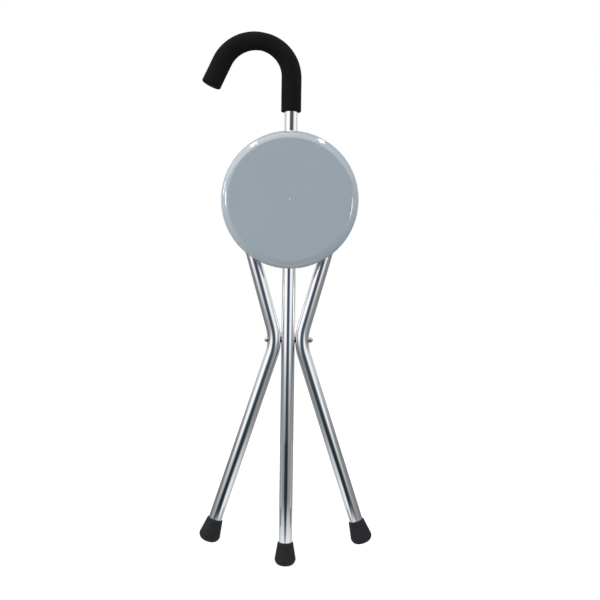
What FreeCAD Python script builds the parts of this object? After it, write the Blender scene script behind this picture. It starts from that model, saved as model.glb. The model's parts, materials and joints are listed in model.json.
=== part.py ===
import FreeCAD, Part
import os
import re

import Sketcher
from FreeCAD import Placement, Rotation, Vector

# A walking stick that opens into a three-legged stool, folded as it is carried.
# Millimetres and degrees. The origin is the middle of the stick's tip on the floor, +Z runs up the
# stick, +X is to the right of someone who faces the seat, and the seat hangs on the -Y side.

os.makedirs("parts", exist_ok=True)
doc = FreeCAD.newDocument("walking_stick_seat")

# How far the outline of a cut passes the solid that it cuts
PAST = "1"

# Driving dimensions
SIZES = {
    # Tubes
    "tube_od": 22,
    "tube_wall": 1.2,
    # The stick's crook
    "crook_radius": 60,
    "crook_turn": 155,
    "crook_tail": 43.5,
    # Foam grip
    "grip_od": 33,
    "crown_od": 29.6,
    "grip_straight": 56,
    "grip_end_wall": 6,
    "grip_edge": 3,
    # Plug in the crook's end
    "plug_flange": 2,
    "plug_length": 18,
    # Rubber tips
    "ferrule_height": 37.6,
    "ferrule_top_od": 26,
    "ferrule_lip": 1.2,
    "ferrule_od": 35,
    "ferrule_belly": 10.5,
    "ferrule_sole_od": 21,
    "ferrule_floor": 9,
    "insert_thickness": 1.5,
    # Waist, where the side legs cross the stick
    "pivot_height": 370,
    "pivot_bolt_d": 5,
    "bush_od": 8,
    "spacer_od": 10,
    "spacer_thickness": 0.7,
    "washer_od": 9,
    "washer_thickness": 1,
    "bolt_head_od": 8.2,
    "bolt_head_height": 3.4,
    "bolt_dome": 3,
    "cap_flats": 8,
    "cap_hexagon_height": 2.6,
    "cap_od": 7.4,
    "cap_height": 5.6,
    "cap_dome": 2.8,
    "cap_wall": 1.2,
    # Locking nuts of the hinge bolts
    "nut_flats": 10,
    "nut_height": 5,
    "nut_hexagon_height": 3.5,
    "nut_ring_od": 9,
    # Side legs
    "bend_radius": 77,
    "lower_lean": 18.2,
    # Hinges between the side legs and the seat
    "hinge_up": 175,
    "hinge_standoff": 20,
    "collar_od": 25,
    "collar_height": 4,
    "spigot_length": 26,
    "tongue_thickness": 10,
    "tongue_radius": 10,
    "tongue_foot": 14,
    "hinge_bolt_d": 6,
    "hinge_head_od": 11,
    "hinge_head_height": 3,
    "hinge_dome": 2.5,
    "hinge_washer_od": 12,
    "hinge_washer_thickness": 1,
    "pin_d": 4,
    # Steel plate of the brackets and the hook
    "plate": 2.5,
    "bracket_length": 48,
    "bracket_gusset": 7,
    "screw_d": 4,
    "screw_head_od": 8,
    "screw_head_height": 2.4,
    "screw_dome": 1.7,
    "screw_length": 9.5,
    "pilot_spare": 0.5,
    "screw_spacing": 14,
    # Seat
    "seat_od": 224,
    "seat_depth": 21.6,
    "seat_gap": 0.4,
    "seat_wall": 3,
    "seat_edge": 14,
    "seat_lip": 1,
    "gate_d": 2.6,
    "gate_height": 0.4,
    "rib_depth": 7,
    "rib_thickness": 2.4,
    "inner_rib_radius": 30,
    "outer_rib_radius": 74,
    "rib_count": 12,
    "boss_od": 9,
    # The open stool: the angle between stick and legs, and the stick's own lean
    "open_angle": 56,
    "cane_lean": 34,
    # Catch that holds the seat to the stick when the stool is open
    "rod_d": 6,
    "rod_edge": 1,
    "rod_length": 34,
    "rod_ahead": 7,
    "catch_lip": 1,
    "catch_width": 18,
    "catch_height": 26,
    "rivet_d": 4,
    "rivet_head_od": 7,
    "rivet_head_height": 1.6,
    "rivet_dome": 1.3,
    "rivet_spacing": 15,
    "hook_radius": 7.5,
    "hook_drop": 23.5,
    "hook_base_length": 46,
    # Fits
    "running_gap": 0.05,
    "press_gap": 0.05,
    "face_gap": 0.05,
    "side_gap": 0.4,
    "hook_gap": 0.35,
    "cheek_gap": 0.6,
    "hook_room": 4,
    "hinge_room": 8.6,
    "grip_room": 41.4,
}

# Places and lengths worked out from them
PLACES = {
    "bore_radius": "tube_od / 2 - tube_wall",
    "tube_start": "ferrule_floor + insert_thickness",
    # Levels of the seat, outwards from the middle of the folded stick
    "rim_back": "tube_od / 2 + seat_gap",
    "seat_top": "rim_back + seat_depth",
    "turn_start": "seat_top - seat_edge",
    "rib_face": "seat_top - seat_wall - rib_depth",
    "plate_face": "rib_face - plate",
    # The rod on the open stool, measured from the hinge line towards the seat's back and its top
    "rod_out": "tube_od / 2 + rod_ahead",
    "rod_level": "plate_face - hook_drop",
    "rod_up": "(rod_level - rod_out * cos(open_angle) + hinge_up * sin(2 * open_angle)) / sin(open_angle)",
    "rod_back": "rod_up * cos(open_angle) - rod_out * sin(open_angle) - hinge_up * cos(2 * open_angle)",
    # The way that the rod takes into the hook
    "way_back": "2 * hinge_up * sin(2 * open_angle) - rod_out * cos(open_angle) - rod_up * sin(open_angle)",
    "way_level": "rod_up * cos(open_angle) - rod_out * sin(open_angle) - 2 * hinge_up * cos(2 * open_angle)",
    "way_length": "sqrt(pow(way_back; 2) + pow(way_level; 2))",
    # The hook stands a little ahead of the seat's back, and the hinge brackets behind its front
    "hook_back": "rod_back + hook_radius",
    "hook_front": "hook_back - hook_base_length",
    "seat_centre": "hook_back + hook_room + seat_wall - seat_od / 2",
    "ear_half": "tongue_thickness / 2 + side_gap + plate",
    "ear_reach": "seat_od / 2 - seat_wall - hinge_room",
    "hinge_x": "sqrt(pow(ear_reach; 2) - pow(seat_centre + tongue_radius; 2)) - ear_half",
    "hinge_z": "pivot_height + hinge_up",
    "rod_z": "pivot_height + rod_up",
    "web_front": "tube_od / 2 + plate",
    # A side leg, from its bend at the waist up to its hinge
    "leg_out": "tube_od + spacer_thickness + 2 * face_gap",
    "bend_middle": "leg_out + bend_radius",
    "hinge_ahead": "bend_middle - hinge_x",
    "hinge_reach": "sqrt(pow(hinge_ahead; 2) + pow(hinge_up; 2))",
    "upper_lean": "atan2(hinge_up; hinge_ahead) - acos(bend_radius / hinge_reach)",
    "top_bend_x": "bend_middle - bend_radius * cos(upper_lean)",
    "top_bend_z": "pivot_height + bend_radius * sin(upper_lean)",
    "leg_top_x": "hinge_x - hinge_standoff * sin(upper_lean)",
    "leg_top_z": "hinge_z - hinge_standoff * cos(upper_lean)",
    "pin_down": "hinge_standoff + spigot_length / 2",
    # And down to its foot, which is level with the stick's tip on the open stool
    "foot_z": "pivot_height * (1 - cos(cane_lean) / cos(open_angle - cane_lean))",
    "low_bend_x": "bend_middle - bend_radius * cos(lower_lean)",
    "low_bend_z": "pivot_height - bend_radius * sin(lower_lean)",
    "foot_x": "low_bend_x + (low_bend_z - foot_z) * tan(lower_lean)",
    # The pivot bolt's washers bear on the bend's hollow side
    "washer_dip": "sqrt(pow(bend_radius - tube_od / 2; 2) - pow(washer_od / 2; 2))",
    "washer_face": "bend_middle - washer_dip + face_gap",
    "head_face": "washer_face + washer_thickness",
    # The crook starts above the grip's straight stretch, which clears the hook
    "crook_up": "hinge_z + hook_back + grip_room + grip_straight",
    "crook_end_x": "-crook_radius * (1 - cos(crook_turn))",
    "crook_end_z": "crook_up + crook_radius * sin(crook_turn)",
    "tube_tail": "crook_tail - grip_end_wall - plug_flange",
    "tube_end_x": "crook_end_x - tube_tail * sin(crook_turn)",
    "tube_end_z": "crook_end_z + tube_tail * cos(crook_turn)",
}

sheet_of = {}


def bound(formula):
    """The formula as FreeCAD reads it: each word led by the name of its sheet."""
    return re.sub(r"[a-z]\w*", lambda word: sheet_of.get(word.group(), "") + word.group(), formula)


def fill_sheet(name, cells):
    """A sheet of words and what they stand for, each with its word as the alias."""
    sheet = doc.addObject("Spreadsheet::Sheet", name)
    for row, (word, content) in enumerate(cells.items(), 1):
        sheet.set(f"A{row}", word)
        sheet.set(f"B{row}", content)
        sheet.setAlias(f"B{row}", word)
    sheet_of.update({word: f"{name}." for word in cells})
    return sheet


sizes = fill_sheet("Sizes", {word: str(size) for word, size in SIZES.items()})
fill_sheet("Places", {word: f"={bound(formula)}" for word, formula in PLACES.items()})
doc.recompute()


def value(formula):
    """What the formula comes to now."""
    return float(sizes.evalExpression(bound(formula)))


def new_body(name, base=("0", "0", "0"), axis=Vector(0, 0, 1), angle="0"):
    """An empty body, placed by formulas. The angle is positive, and the axis takes its sign."""
    body = doc.addObject("PartDesign::Body", name)
    body.Label = name
    body.AllowCompound = True
    body.Placement = Placement(Vector(*map(value, base)), Rotation(axis, value(angle)))
    for letter, formula in zip("xyz", base):
        if formula != "0":
            body.setExpression(f"Placement.Base.{letter}", bound(formula))
    if re.search("[a-z]", angle):
        body.setExpression("Placement.Rotation.Angle", bound(angle))
    return body


def new_sketch(body, name, plane, offset=("0", "0", "0"), axis=Vector(0, 0, 1), angle="0"):
    """A sketch on one of the body's own planes, moved and turned within it by formulas."""
    sketch = body.newObject("Sketcher::SketchObject", f"{body.Name}_{name}")
    support = [o for o in body.Origin.OriginFeatures if o.Role == f"{plane}_Plane"][0]
    sketch.AttachmentSupport = [(support, "")]
    sketch.MapMode = "FlatFace"
    sketch.AttachmentOffset = Placement(Vector(*map(value, offset)), Rotation(axis, value(angle)))
    for letter, formula in zip("xyz", offset):
        if formula != "0":
            sketch.setExpression(f"AttachmentOffset.Base.{letter}", bound(formula))
    if re.search("[a-z]", angle):
        sketch.setExpression("AttachmentOffset.Rotation.Angle", bound(angle))
    return sketch


def pin(sketch, shape, end, x, y):
    """Holds one point of a shape at the place that two formulas give."""
    for kind, axis, formula in (("DistanceX", -2, x), ("DistanceY", -1, y)):
        if formula == "0":
            sketch.addConstraint(Sketcher.Constraint("PointOnObject", shape, end, axis))
        else:
            rule = Sketcher.Constraint(kind, -1, 1, shape, end, value(formula))
            number = sketch.addConstraint(rule)
            sketch.setExpression(f"Constraints[{number}]", bound(formula))


def size_round(sketch, shape, radius):
    """Sets the radius of a circle or an arc by a formula."""
    number = sketch.addConstraint(Sketcher.Constraint("Radius", shape, value(radius)))
    sketch.setExpression(f"Constraints[{number}]", bound(radius))


def add_circle(sketch, radius, x="0", y="0"):
    """A circle whose centre and radius are formulas."""
    centre = Vector(value(x), value(y), 0)
    shape = sketch.addGeometry(Part.Circle(centre, Vector(0, 0, 1), value(radius)))
    pin(sketch, shape, 3, x, y)
    size_round(sketch, shape, radius)


def arc_between(start, end, radius, turn):
    """The shorter arc from start to end that turns left or right on its way."""
    chord = end - start
    side = Vector(-chord.y, chord.x, 0).normalize()
    if turn == "right":
        side = -side
    rise = max(radius ** 2 - chord.Length ** 2 / 4, 0) ** 0.5
    middle = (start + end) / 2 + side * (rise - radius)
    return Part.Arc(start, middle, end)


def trace(sketch, points, closed=True):
    """Draws an outline. Each point is (x, y), and a line leaves it, or (x, y, radius, turn), and an
    arc leaves it. Every number is a formula."""
    places = [Vector(value(p[0]), value(p[1]), 0) for p in points]
    count = len(points) if closed else len(points) - 1
    first = None
    for i in range(count):
        start, end = places[i], places[(i + 1) % len(points)]
        is_arc = len(points[i]) > 2
        if is_arc:
            arc = arc_between(start, end, value(points[i][2]), points[i][3])
            shape = sketch.addGeometry(arc)
        else:
            shape = sketch.addGeometry(Part.LineSegment(start, end))
        # An arc is stored anticlockwise, so one that turns right begins at its second point
        head, tail = (2, 1) if is_arc and points[i][3] == "right" else (1, 2)
        pin(sketch, shape, head, points[i][0], points[i][1])
        if is_arc:
            size_round(sketch, shape, points[i][2])
        if i:
            sketch.addConstraint(Sketcher.Constraint("Coincident", last[0], last[1], shape, head))
        else:
            first = (shape, head)
        last = (shape, tail)
    if closed:
        sketch.addConstraint(Sketcher.Constraint("Coincident", last[0], last[1], *first))
    else:
        pin(sketch, last[0], last[1], points[-1][0], points[-1][1])


def add_pad(sketch, length, reverse=False, both_ways=False):
    """Pads a sketch along its normal, against it, or half each way."""
    body = sketch.getParentGeoFeatureGroup()
    pad = body.newObject("PartDesign::Pad", f"{sketch.Name}_pad")
    pad.Profile = sketch
    pad.Length = value(length)
    pad.setExpression("Length", bound(length))
    pad.Reversed = reverse
    if both_ways:
        pad.SideType = "Symmetric"
    return pad


def add_pocket(sketch, length=None, along_normal=False):
    """Cuts a sketch through everything, or by a length, half each way or all along its normal."""
    body = sketch.getParentGeoFeatureGroup()
    doc.recompute()
    before = body.Shape.Volume
    pocket = body.newObject("PartDesign::Pocket", f"{sketch.Name}_pocket")
    pocket.Profile = sketch
    pocket.SideType = "One side" if along_normal else "Symmetric"
    pocket.Reversed = along_normal
    if length is None:
        pocket.Type = "ThroughAll"
    else:
        pocket.Length = value(length)
        pocket.setExpression("Length", bound(length))
    doc.recompute()
    if body.Shape.Volume > before * (1 - 1e-7):
        raise ValueError(f"{pocket.Name} cuts nothing")
    return pocket


def add_turned(sketch):
    """Revolves a sketch about its own upright axis."""
    body = sketch.getParentGeoFeatureGroup()
    turned = body.newObject("PartDesign::Revolution", f"{sketch.Name}_turned")
    turned.Profile = sketch
    turned.ReferenceAxis = (sketch, ["V_Axis"])
    turned.Angle = 360
    return turned


def round_edges(body, name, radius, wanted):
    """Rounds the edges of the body's tip that pass the test."""
    doc.recompute()
    tip = body.Tip
    names = [f"Edge{i}" for i, edge in enumerate(tip.Shape.Edges, 1) if wanted(edge)]
    fillet = body.newObject("PartDesign::Fillet", f"{body.Name}_{name}")
    fillet.Base = (tip, names)
    fillet.Radius = value(radius)
    fillet.setExpression("Radius", bound(radius))
    return fillet


def is_circle(edge, radius):
    """Is the edge a circle of this radius?"""
    return isinstance(edge.Curve, Part.Circle) and abs(edge.Curve.Radius - radius) < 1e-4


SEAT_AXIS = Vector(1, 0, 0)
LEAN_RIGHT = Vector(0, 1, 0)
LEAN_LEFT = Vector(0, -1, 0)


# The stick

def build_cane_tube():
    """The bent tube, with its cross hole at the waist and the catch's rivet holes."""
    body = new_body("cane_tube")
    path = new_sketch(body, "path", "XZ")
    trace(path, [
        ("0", "tube_start"),
        ("0", "crook_up", "crook_radius", "left"),
        ("crook_end_x", "crook_end_z"),
        ("tube_end_x", "tube_end_z"),
    ], closed=False)
    section = new_sketch(body, "section", "XY", ("0", "0", "tube_start"))
    add_circle(section, "tube_od / 2")
    add_circle(section, "bore_radius")
    add_pipe(body, section, path)
    cross = new_sketch(body, "bush_hole", "YZ")
    add_circle(cross, "bush_od / 2 + press_gap", "0", "pivot_height")
    add_pocket(cross)
    rivets = new_sketch(body, "rivet_holes", "XZ")
    for sign in ("+", "-"):
        add_circle(rivets, "rivet_d / 2 + press_gap", "0", f"rod_z {sign} rivet_spacing / 2")
    add_pocket(rivets, "tube_od", along_normal=True)
    return body


def add_pipe(body, section, path):
    """Sweeps a section along a path."""
    pipe = body.newObject("PartDesign::AdditivePipe", f"{body.Name}_pipe")
    pipe.Profile = section
    pipe.Spine = (path, [])
    return pipe


def build_foam_grip():
    """The foam sleeve: thinner where it is stretched over the crown, and closed at its tip."""
    bottom = Vector(0, 0, value("crook_up - grip_straight"))
    start = Vector(0, 0, value("crook_up"))
    end = Vector(value("crook_end_x"), 0, value("crook_end_z"))
    turn, radius = value("crook_turn"), value("crook_radius")
    along = Rotation(LEAN_LEFT, turn).multVec(Vector(0, 0, 1))
    half_way = Rotation(LEAN_LEFT, turn / 2)
    centre = Vector(-radius, 0, start.z)
    crown = centre + half_way.multVec(Vector(radius, 0, 0))
    tip = end + along * value("crook_tail")
    tube_end = end + along * value("crook_tail - grip_end_wall")

    def disc(place, direction, diameter):
        return Part.Wire(Part.makeCircle(diameter / 2, place, direction))

    def swept(first, last, sections):
        quarter = Rotation(LEAN_LEFT, (first + last) / 2).multVec(Vector(radius, 0, 0))
        ends = [centre + Rotation(LEAN_LEFT, a).multVec(Vector(radius, 0, 0)) for a in (first, last)]
        spine = Part.Wire(Part.Arc(ends[0], centre + quarter, ends[1]).toShape())
        shell = Part.BRepOffsetAPI.MakePipeShell(spine)
        for section in sections:
            shell.add(section)
        shell.build()
        shell.makeSolid()
        return shell.shape()

    thick, thin = value("grip_od"), value("crown_od")
    middle = disc(crown, half_way.multVec(Vector(0, 0, 1)), thin)
    outside = Part.makeCylinder(thick / 2, start.z - bottom.z, bottom, Vector(0, 0, 1))
    tail = Part.makeCylinder(thick / 2, value("crook_tail"), end, along)
    edge = value("grip_edge")
    rim = [e for e in outside.Edges if e.BoundBox.ZMax < bottom.z + edge]
    outside = outside.makeFillet(edge / 2, rim)
    tail = tail.makeFillet(edge, [e for e in tail.Edges if (e.CenterOfMass - tip).Length < edge])
    arcs = [
        swept(0, turn / 2, [disc(start, Vector(0, 0, 1), thick), middle]),
        swept(turn / 2, turn, [middle, disc(end, along, thick)]),
    ]
    outside = outside.fuse(arcs + [tail])
    fit = value("tube_od / 2 + press_gap")
    bore = Part.makeCylinder(fit, start.z - bottom.z + edge, bottom - Vector(0, 0, edge), Vector(0, 0, 1))
    bore = bore.fuse([
        swept(0, turn, [disc(start, Vector(0, 0, 1), 2 * fit)]),
        Part.makeCylinder(fit, (tube_end - end).Length, end, along),
    ])
    grip = doc.addObject("Part::Feature", "foam_grip")
    grip.Label = "foam_grip"
    grip.Shape = outside.cut(bore)
    return grip


def build_handle_plug():
    """The plug in the crook's end: a flange against the tube and a spigot inside it."""
    body = new_body("handle_plug", ("tube_end_x", "0", "tube_end_z"), LEAN_LEFT, "crook_turn")
    flange = new_sketch(body, "flange", "XY")
    add_circle(flange, "tube_od / 2")
    add_pad(flange, "plug_flange - face_gap")
    spigot = new_sketch(body, "spigot", "XY")
    add_circle(spigot, "bore_radius - press_gap")
    add_pad(spigot, "plug_length", reverse=True)
    return body


def build_ferrule(name, base=("0", "0", "0"), axis=Vector(0, 0, 1), angle="0"):
    """One rubber tip: a flat sole, a round belly, a tapered side with a rolled lip, and a socket."""
    body = new_body(name, base, axis, angle)
    swell = "(ferrule_od - ferrule_sole_od) / 2"
    socket = "tube_od / 2 + press_gap"
    outline = new_sketch(body, "outline", "XZ")
    trace(outline, [
        ("0", "0"),
        ("ferrule_sole_od / 2", "0", f"(pow({swell}; 2) + pow(ferrule_belly; 2)) / (2 * {swell})", "left"),
        ("ferrule_od / 2", "ferrule_belly"),
        ("ferrule_top_od / 2", "ferrule_height - ferrule_lip", "ferrule_lip", "left"),
        ("ferrule_top_od / 2 - ferrule_lip", "ferrule_height"),
        (socket, "ferrule_height"),
        (socket, "ferrule_floor"),
        ("0", "ferrule_floor"),
    ])
    add_turned(outline)
    return body


def build_inserts():
    """The steel discs inside the three tips, which keep the tubes from cutting through."""
    places = [
        ("cane", ("0", "0", "0"), LEAN_LEFT, "0"),
        ("right", ("foot_x", "0", "foot_z"), LEAN_LEFT, "lower_lean"),
        ("left", ("-foot_x", "0", "foot_z"), LEAN_RIGHT, "lower_lean"),
    ]
    for side, base, axis, angle in places:
        body = new_body(f"{side}_insert", base, axis, angle)
        disc = new_sketch(body, "disc", "XY", ("0", "0", "ferrule_floor"))
        add_circle(disc, "tube_od / 2")
        add_pad(disc, "insert_thickness - face_gap")


def build_pivot_bush():
    """The sleeve through the stick that the pivot bolt turns in."""
    body = new_body("pivot_bush")
    ring = new_sketch(body, "ring", "YZ")
    add_circle(ring, "bush_od / 2", "0", "pivot_height")
    add_circle(ring, "pivot_bolt_d / 2 + running_gap", "0", "pivot_height")
    add_pad(ring, "tube_od", both_ways=True)
    return body


def build_catch_bracket():
    """The channel on the stick's front that carries the rod, its back cut to the tube."""
    body = new_body("catch_bracket")
    fit = "(tube_od / 2 + press_gap)"
    half = "catch_width / 2"
    inner = "catch_width / 2 - plate"
    tip = "-(rod_out + rod_d / 2 + catch_lip)"
    corner = f"-sqrt(pow({fit}; 2) - pow({half}; 2))"
    section = new_sketch(body, "section", "XY", ("0", "0", "rod_z - catch_height / 2"))
    trace(section, [
        (f"-{half}", corner),
        (f"-{half}", tip),
        (f"-({inner})", tip),
        (f"-({inner})", "-web_front"),
        (inner, "-web_front"),
        (inner, tip),
        (half, tip),
        (half, corner, fit, "right"),
    ])
    add_pad(section, "catch_height")
    rod = new_sketch(body, "rod_hole", "YZ")
    add_circle(rod, "rod_d / 2 + press_gap", "-rod_out", "rod_z")
    add_pocket(rod)
    rivets = new_sketch(body, "rivet_holes", "XZ")
    for sign in ("+", "-"):
        add_circle(rivets, "rivet_d / 2 + press_gap", "0", f"rod_z {sign} rivet_spacing / 2")
    add_pocket(rivets)
    front, thickness = value(tip), value("plate")

    def at_front_corner(edge):
        """Does the edge run across the plate, at the front end of a cheek?"""
        at_front = all(abs(corner.Point.y - front) < 1e-4 for corner in edge.Vertexes)
        return at_front and abs(edge.Length - thickness) < 1e-4

    round_edges(body, "corners", "rod_d / 2", at_front_corner)
    return body


def build_catch_rod():
    """The rod that the seat's hook rests on."""
    body = new_body("catch_rod")
    section = new_sketch(body, "section", "YZ")
    add_circle(section, "rod_d / 2", "-rod_out", "rod_z")
    add_pad(section, "rod_length", both_ways=True)
    radius = value("rod_d / 2")
    round_edges(body, "ends", "rod_edge", lambda edge: is_circle(edge, radius))
    return body


def build_catch_rivets():
    """Two rivets through the bracket's web and the tube's wall."""
    body = new_body("catch_rivets")
    inside = "-sqrt(pow(bore_radius; 2) - pow(rivet_head_od / 2; 2))"
    stretches = [
        ("heads", "web_front", "rivet_head_od / 2", "rivet_head_height", False),
        ("shanks", "web_front", "rivet_d / 2", f"web_front + {inside}", True),
        ("tails", f"-({inside})", "rivet_head_od / 2", "rivet_head_height", True),
    ]
    for name, front, radius, length, inward in stretches:
        circles = new_sketch(body, name, "XZ", ("0", "0", front))
        for sign in ("+", "-"):
            add_circle(circles, radius, "0", f"rod_z {sign} rivet_spacing / 2")
        add_pad(circles, length, reverse=inward)
    rim = value("rivet_head_od / 2")
    out = value("-web_front - rivet_head_height")
    round_edges(body, "domes", "rivet_dome",
                lambda edge: is_circle(edge, rim) and abs(edge.CenterOfMass.y - out) < 1e-4)
    return body


# The side legs

def build_leg(name, half_turn):
    """One bent tube with its hole for the pivot bolt. The left leg is the right one turned round."""
    body = new_body(name, angle=half_turn)
    path = new_sketch(body, "path", "XZ")
    start = ("foot_x - tube_start * sin(lower_lean)", "foot_z + tube_start * cos(lower_lean)")
    trace(path, [
        start,
        ("low_bend_x", "low_bend_z", "bend_radius", "right"),
        ("top_bend_x", "top_bend_z"),
        ("leg_top_x", "leg_top_z"),
    ], closed=False)
    section = new_sketch(body, "section", "XY", (start[0], "0", start[1]), LEAN_LEFT, "lower_lean")
    add_circle(section, "tube_od / 2")
    add_circle(section, "bore_radius")
    add_pipe(body, section, path)
    cross = new_sketch(body, "bolt_hole", "YZ")
    add_circle(cross, "pivot_bolt_d / 2 + press_gap", "0", "pivot_height")
    add_pocket(cross)
    pin_hole = new_sketch(body, "pin_hole", "XZ")
    add_circle(pin_hole, "pin_d / 2 + press_gap", *pin_place())
    add_pocket(pin_hole)
    return body


def pin_place():
    """Where the pin crosses the right leg's top, half way down the fitting's spigot."""
    return "hinge_x - pin_down * sin(upper_lean)", "hinge_z - pin_down * cos(upper_lean)"


def build_leg_end(name, side, lean):
    """The moulded hinge fitting in a leg's top: spigot, collar and tongue. Its body's origin is on
    the hinge line, and the sketches of its spigot and collar lean with the tube."""
    body = new_body(name, (f"{side}hinge_x", "0", "hinge_z"))
    inward = "" if side else "-"
    on_tube = (f"{inward}hinge_standoff * sin(upper_lean)", "0", "-hinge_standoff * cos(upper_lean)")
    collar = new_sketch(body, "collar", "XY", on_tube, lean, "upper_lean")
    add_circle(collar, "collar_od / 2")
    add_pad(collar, "collar_height")
    spigot = new_sketch(body, "spigot", "XY", on_tube, lean, "upper_lean")
    add_circle(spigot, "bore_radius - press_gap")
    add_pad(spigot, "spigot_length", reverse=True)
    foot = "-(hinge_standoff * cos(upper_lean) - face_gap)"
    tongue = new_sketch(body, "tongue", "YZ")
    trace(tongue, [
        ("-tongue_foot / 2", foot),
        ("tongue_foot / 2", foot),
        ("tongue_radius", "0", "tongue_radius", "left"),
        ("0", "tongue_radius", "tongue_radius", "left"),
        ("-tongue_radius", "0"),
    ])
    add_pad(tongue, "tongue_thickness", both_ways=True)
    bore = new_sketch(body, "bore", "YZ")
    add_circle(bore, "hinge_bolt_d / 2 + running_gap")
    add_pocket(bore)
    pin_hole = new_sketch(body, "pin_hole", "XZ")
    across, up = f"{inward}pin_down * sin(upper_lean)", "-pin_down * cos(upper_lean)"
    add_circle(pin_hole, "pin_d / 2 + press_gap", across, up)
    add_pocket(pin_hole)
    return body


def build_leg_end_pins():
    """The two pins that keep the fittings in their tubes."""
    body = new_body("leg_end_pins")
    across, up = pin_place()
    section = new_sketch(body, "section", "XZ")
    add_circle(section, "pin_d / 2", across, up)
    add_circle(section, "pin_d / 2", f"-({across})", up)
    add_pad(section, "tube_od", both_ways=True)
    return body


def build_pivot_bolt():
    """The cross bolt at the waist, its round head on the left and its end inside the cap nut."""
    body = new_body("pivot_bolt")
    shank = new_sketch(body, "shank", "YZ", ("0", "0", "-head_face"))
    add_circle(shank, "pivot_bolt_d / 2", "0", "pivot_height")
    add_pad(shank, "2 * head_face + cap_height - cap_wall - face_gap")
    head = new_sketch(body, "head", "YZ", ("0", "0", "-head_face"))
    add_circle(head, "bolt_head_od / 2", "0", "pivot_height")
    add_pad(head, "bolt_head_height", reverse=True)
    rim, out = value("bolt_head_od / 2"), value("-head_face - bolt_head_height")
    round_edges(body, "dome", "bolt_dome",
                lambda edge: is_circle(edge, rim) and abs(edge.CenterOfMass.x - out) < 1e-4)
    return body


def trace_hexagon(sketch, flats, up):
    """A nut's outline, with its corners above and below each other."""
    corners = [(f"{flats} / 2 / cos(30) * cos({angle})", f"{up} + {flats} / 2 / cos(30) * sin({angle})")
               for angle in range(30, 390, 60)]
    trace(sketch, corners)


def add_nut(body, name, face, bore, up, reverse=False):
    """A locking nut along X: its hexagon, and the round cap that holds the locking ring."""
    outline = new_sketch(body, f"{name}_hexagon", "YZ", ("0", "0", face))
    trace_hexagon(outline, "nut_flats", up)
    add_circle(outline, bore, "0", up)
    add_pad(outline, "nut_hexagon_height", reverse=reverse)
    ring = new_sketch(body, f"{name}_ring", "YZ", ("0", "0", face))
    add_circle(ring, "nut_ring_od / 2", "0", up)
    add_circle(ring, bore, "0", up)
    add_pad(ring, "nut_height", reverse=reverse)


def build_pivot_nut():
    """The cap nut on the bolt's right end: a hexagon under a dome that closes its bore."""
    body = new_body("pivot_nut")
    bore = "pivot_bolt_d / 2 + press_gap"
    outline = new_sketch(body, "hexagon", "YZ", ("0", "0", "head_face"))
    trace_hexagon(outline, "cap_flats", "pivot_height")
    add_circle(outline, bore, "0", "pivot_height")
    add_pad(outline, "cap_hexagon_height")
    sleeve = new_sketch(body, "sleeve", "YZ", ("0", "0", "head_face"))
    add_circle(sleeve, "cap_od / 2", "0", "pivot_height")
    add_circle(sleeve, bore, "0", "pivot_height")
    add_pad(sleeve, "cap_height - cap_wall")
    lid = new_sketch(body, "lid", "YZ", ("0", "0", "head_face + cap_height - cap_wall"))
    add_circle(lid, "cap_od / 2", "0", "pivot_height")
    add_pad(lid, "cap_wall")
    rim, out = value("cap_od / 2"), value("head_face + cap_height")
    round_edges(body, "dome", "cap_dome",
                lambda edge: is_circle(edge, rim) and abs(edge.CenterOfMass.x - out) < 1e-4)
    return body


def add_ring_pair(body, name, face, outer, inner, up, thickness):
    """The same ring on both sides, facing away from the middle."""
    for side, sign, reverse in (("right", "", False), ("left", "-", True)):
        ring = new_sketch(body, f"{name}_{side}", "YZ", ("0", "0", f"{sign}({face})"))
        add_circle(ring, outer, "0", up)
        add_circle(ring, inner, "0", up)
        add_pad(ring, thickness, reverse=reverse)


def build_pivot_spacers():
    """Thin nylon washers that keep the legs off the stick."""
    body = new_body("pivot_spacers")
    add_ring_pair(body, "ring", "tube_od / 2 + face_gap", "spacer_od / 2",
                  "pivot_bolt_d / 2 + press_gap", "pivot_height", "spacer_thickness")
    return body


def build_pivot_washers():
    """Steel washers under the pivot bolt's head and nut."""
    body = new_body("pivot_washers")
    add_ring_pair(body, "ring", "washer_face", "washer_od / 2",
                  "pivot_bolt_d / 2 + press_gap", "pivot_height", "washer_thickness - face_gap")
    return body


# The seat. Its pieces share a frame whose Z points out of the top face and whose Y runs towards the
# seat's back, which is up while the stool is folded.

def seat_frame(x="0", along="0"):
    """The place of a body in the seat's frame, measured from the hinge line."""
    return (x, "0", f"hinge_z + {along}"), SEAT_AXIS, "90"


def boss_places():
    """Where the screws stand: two for each hinge bracket and two for the hook."""
    first = "(tongue_radius + bracket_gusset)"
    sides = [(f"{sign}hinge_x", f"{first} + {step} * screw_spacing")
             for sign in ("", "-") for step in (0, 1)]
    hook = [("0", f"hook_front + screw_head_od + {step} * screw_spacing") for step in (0, 1)]
    return sides, hook


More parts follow.
